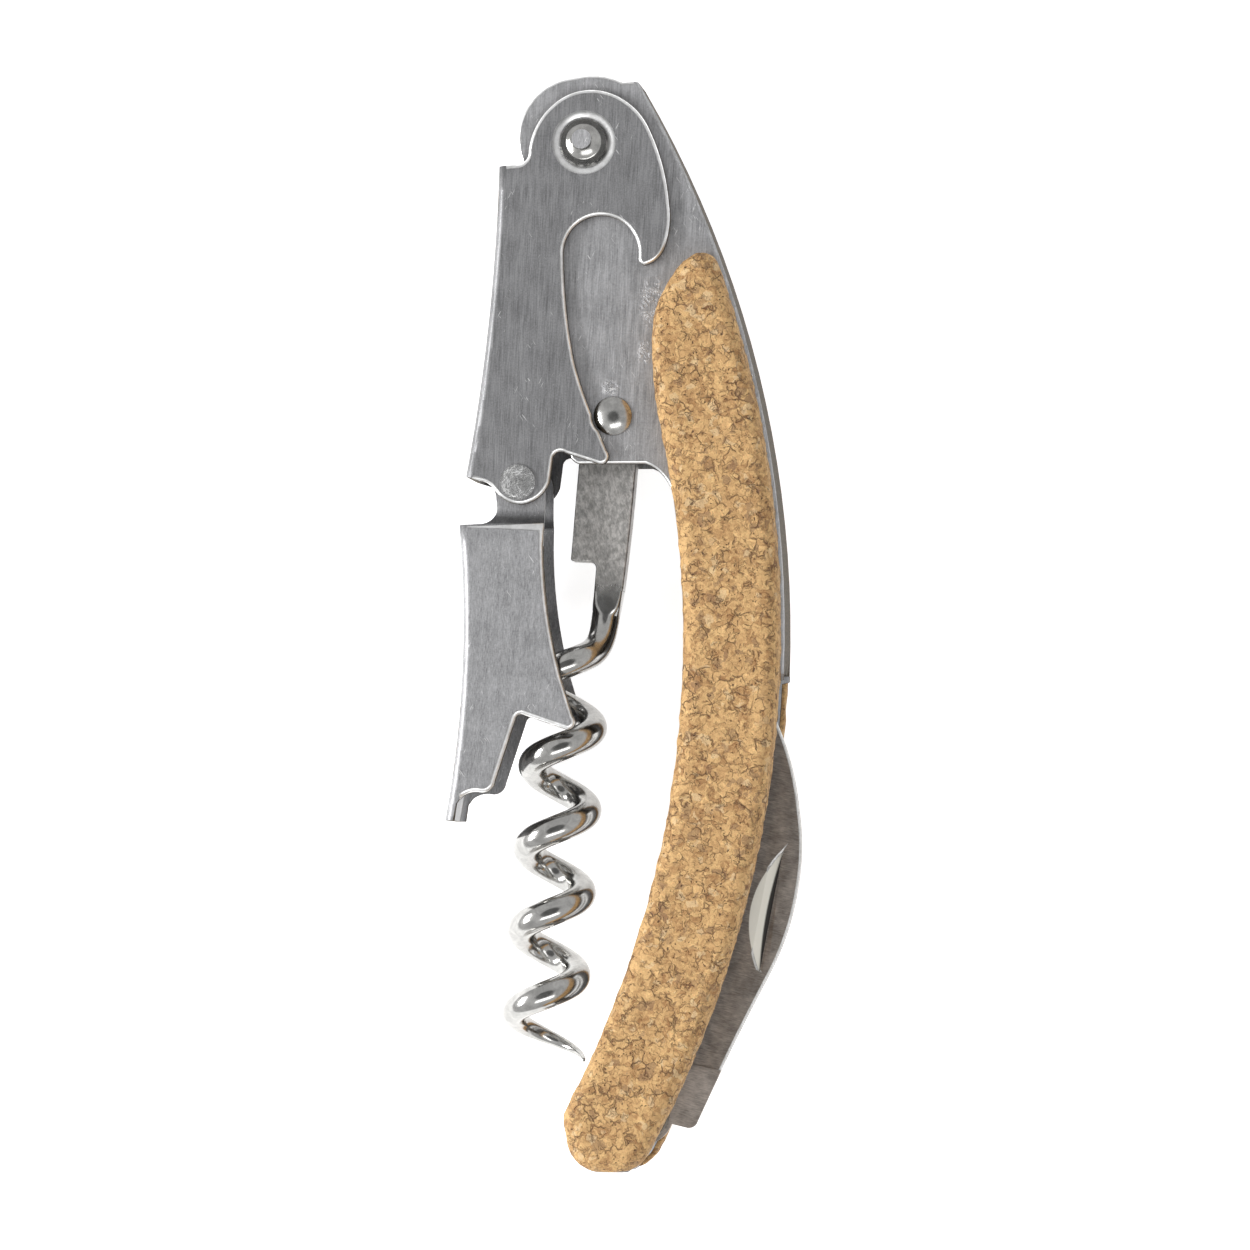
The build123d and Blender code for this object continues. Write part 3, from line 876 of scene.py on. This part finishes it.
def cork_material(pale, deep):
    """Pressed granules of several sizes, with dark seams, pits darkened by painted shade, and fine
    wisps.
    """
    shader = Shader("agglomerated_cork")
    here = shader.place()
    drift = shader.node("ShaderNodeTexNoise", {}, {"Vector": here, "Scale": 0.9, "Detail": 3.0},
                        output=1)
    moved = shader.vector("MULTIPLY_ADD", drift, (1.5, 1.5, 1.5), here)

    def cells(scale, feature="F1", output=0):
        return shader.node("ShaderNodeTexVoronoi", {"feature": feature},
                           {"Vector": moved, "Scale": scale}, output)

    def granules(scale):
        """One random value in each granule."""
        return shader.node("ShaderNodeSeparateColor", {}, {0: cells(scale, output=1)})

    large, small, tiny = (granules(scale) for scale in (0.75, 1.7, 3.6))
    wisp = shader.grain(2.6, 5.0, 0.7, distortion=2.2)
    tone = large * 0.26 + small * 0.4 + tiny * 0.32 + wisp * 0.75 - 0.42
    stops = [(0.0, deep), (0.3, between(deep, pale, 0.45)), (0.52, between(deep, pale, 0.85)),
             (0.72, pale), (1.0, around(pale, 1.0, 1.35)[1])]
    shade = shader.node("ShaderNodeValToRGB", {"stops": stops}, {0: tone})
    shade = shader.mix(granules(1.25).over(0.90, 0.94) * 0.5, shade, BARK_GRANULE)
    shade = shader.mix((1 - granules(1.5).over(0.05, 0.09)) * 0.6, shade, PALE_GRANULE)
    fibre = shader.grain(7.0, 4.0, 0.7, distortion=1.0)
    fibre_grey = shader.node("ShaderNodeCombineColor", {}, {0: fibre, 1: fibre, 2: fibre})
    shade = shader.mix(0.6, shade, fibre_grey, "OVERLAY")

    patchy = shader.grain(0.6, 2.0, 0.5).over(0.5, 0.62)
    seam = (1 - cells(0.75, "DISTANCE_TO_EDGE").over(0.01, 0.075)) * patchy
    fine_patchy = shader.grain(1.3, 2.0, 0.5).over(0.46, 0.6)
    fine_seam = (1 - cells(1.7, "DISTANCE_TO_EDGE").over(0.0, 0.1)) * fine_patchy
    pit = (1 - cells(1.9).over(0.1, 0.24)) * shader.grain(1.1, 2.0, 0.6).over(0.5, 0.58)
    shade = shader.mix((seam * 0.7).most(fine_seam * 0.5), shade, SEAM_COLOUR)
    # the pits get a painted shade in their hollows
    shade = shader.mix(pit * 0.85, shade, PIT_SHADE_COLOUR)
    height = tone * 0.35 + fibre * 0.25 - seam * 0.8 - fine_seam * 0.35 - pit + 0.6
    shader.set(Base_Color=shade, Roughness=0.72, Normal=shader.bump(height, 0.24 * MM))
    return shader.material


class CORKSCREW_OT_cork(bpy.types.Operator):
    """Cork scales with granules, pits and cracks"""
    bl_idname = "corkscrew.cork"
    bl_label = "Cork scales"

    def execute(self, context):
        settings = context.scene.corkscrew_cork
        dress(SCALES, cork_material(settings.pale, settings.deep))
        for node in SCALES:
            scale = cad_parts[node]
            modify(scale, "REMESH", mode="VOXEL", voxel_size=settings.voxel, use_smooth_shade=True)
            for kind, size, depth in CORK_RELIEF:
                texture = bpy.data.textures.new(f"{node}_{kind.lower()}", kind)
                texture.noise_scale = size * MM
                modify(scale, "DISPLACE", texture=texture, texture_coords="LOCAL", mid_level=1.0,
                       strength=depth * MM)
        return {"FINISHED"}


# ---------------------------------------------------------------- add-on
class CORKSCREW_PT_panel(bpy.types.Panel):
    """Lists the corkscrew's settings and operators"""
    bl_idname = "CORKSCREW_PT_panel"
    bl_label = "Corkscrew"
    bl_space_type = "VIEW_3D"
    bl_region_type = "UI"
    bl_category = "Corkscrew"

    def draw(self, context):
        for group in GROUPS:
            settings = getattr(context.scene, group)
            for name in settings.__annotations__:
                self.layout.prop(settings, name)
        for operator in OPERATORS:
            self.layout.operator(operator.bl_idname)


GROUPS = {
    "corkscrew_stage": StageSettings,
    "corkscrew_steel": SteelSettings,
    "corkscrew_cork": CorkSettings,
}
OPERATORS = (CORKSCREW_OT_stage, CORKSCREW_OT_spacers, CORKSCREW_OT_sheets, CORKSCREW_OT_rivets,
             CORKSCREW_OT_worm, CORKSCREW_OT_blade, CORKSCREW_OT_cork)
CLASSES = (*GROUPS.values(), *OPERATORS, CORKSCREW_PT_panel)


def register():
    for cls in CLASSES:
        bpy.utils.register_class(cls)
    for name, group in GROUPS.items():
        setattr(bpy.types.Scene, name, PointerProperty(type=group))


def unregister():
    for name in GROUPS:
        delattr(bpy.types.Scene, name)
    for cls in reversed(CLASSES):
        bpy.utils.unregister_class(cls)


def main():
    register()
    bpy.ops.corkscrew.stage()
    bpy.ops.corkscrew.spacers()
    bpy.ops.corkscrew.sheets()
    bpy.ops.corkscrew.rivets()
    bpy.ops.corkscrew.worm()
    bpy.ops.corkscrew.blade()
    bpy.ops.corkscrew.cork()


if __name__ == "__main__":
    main()
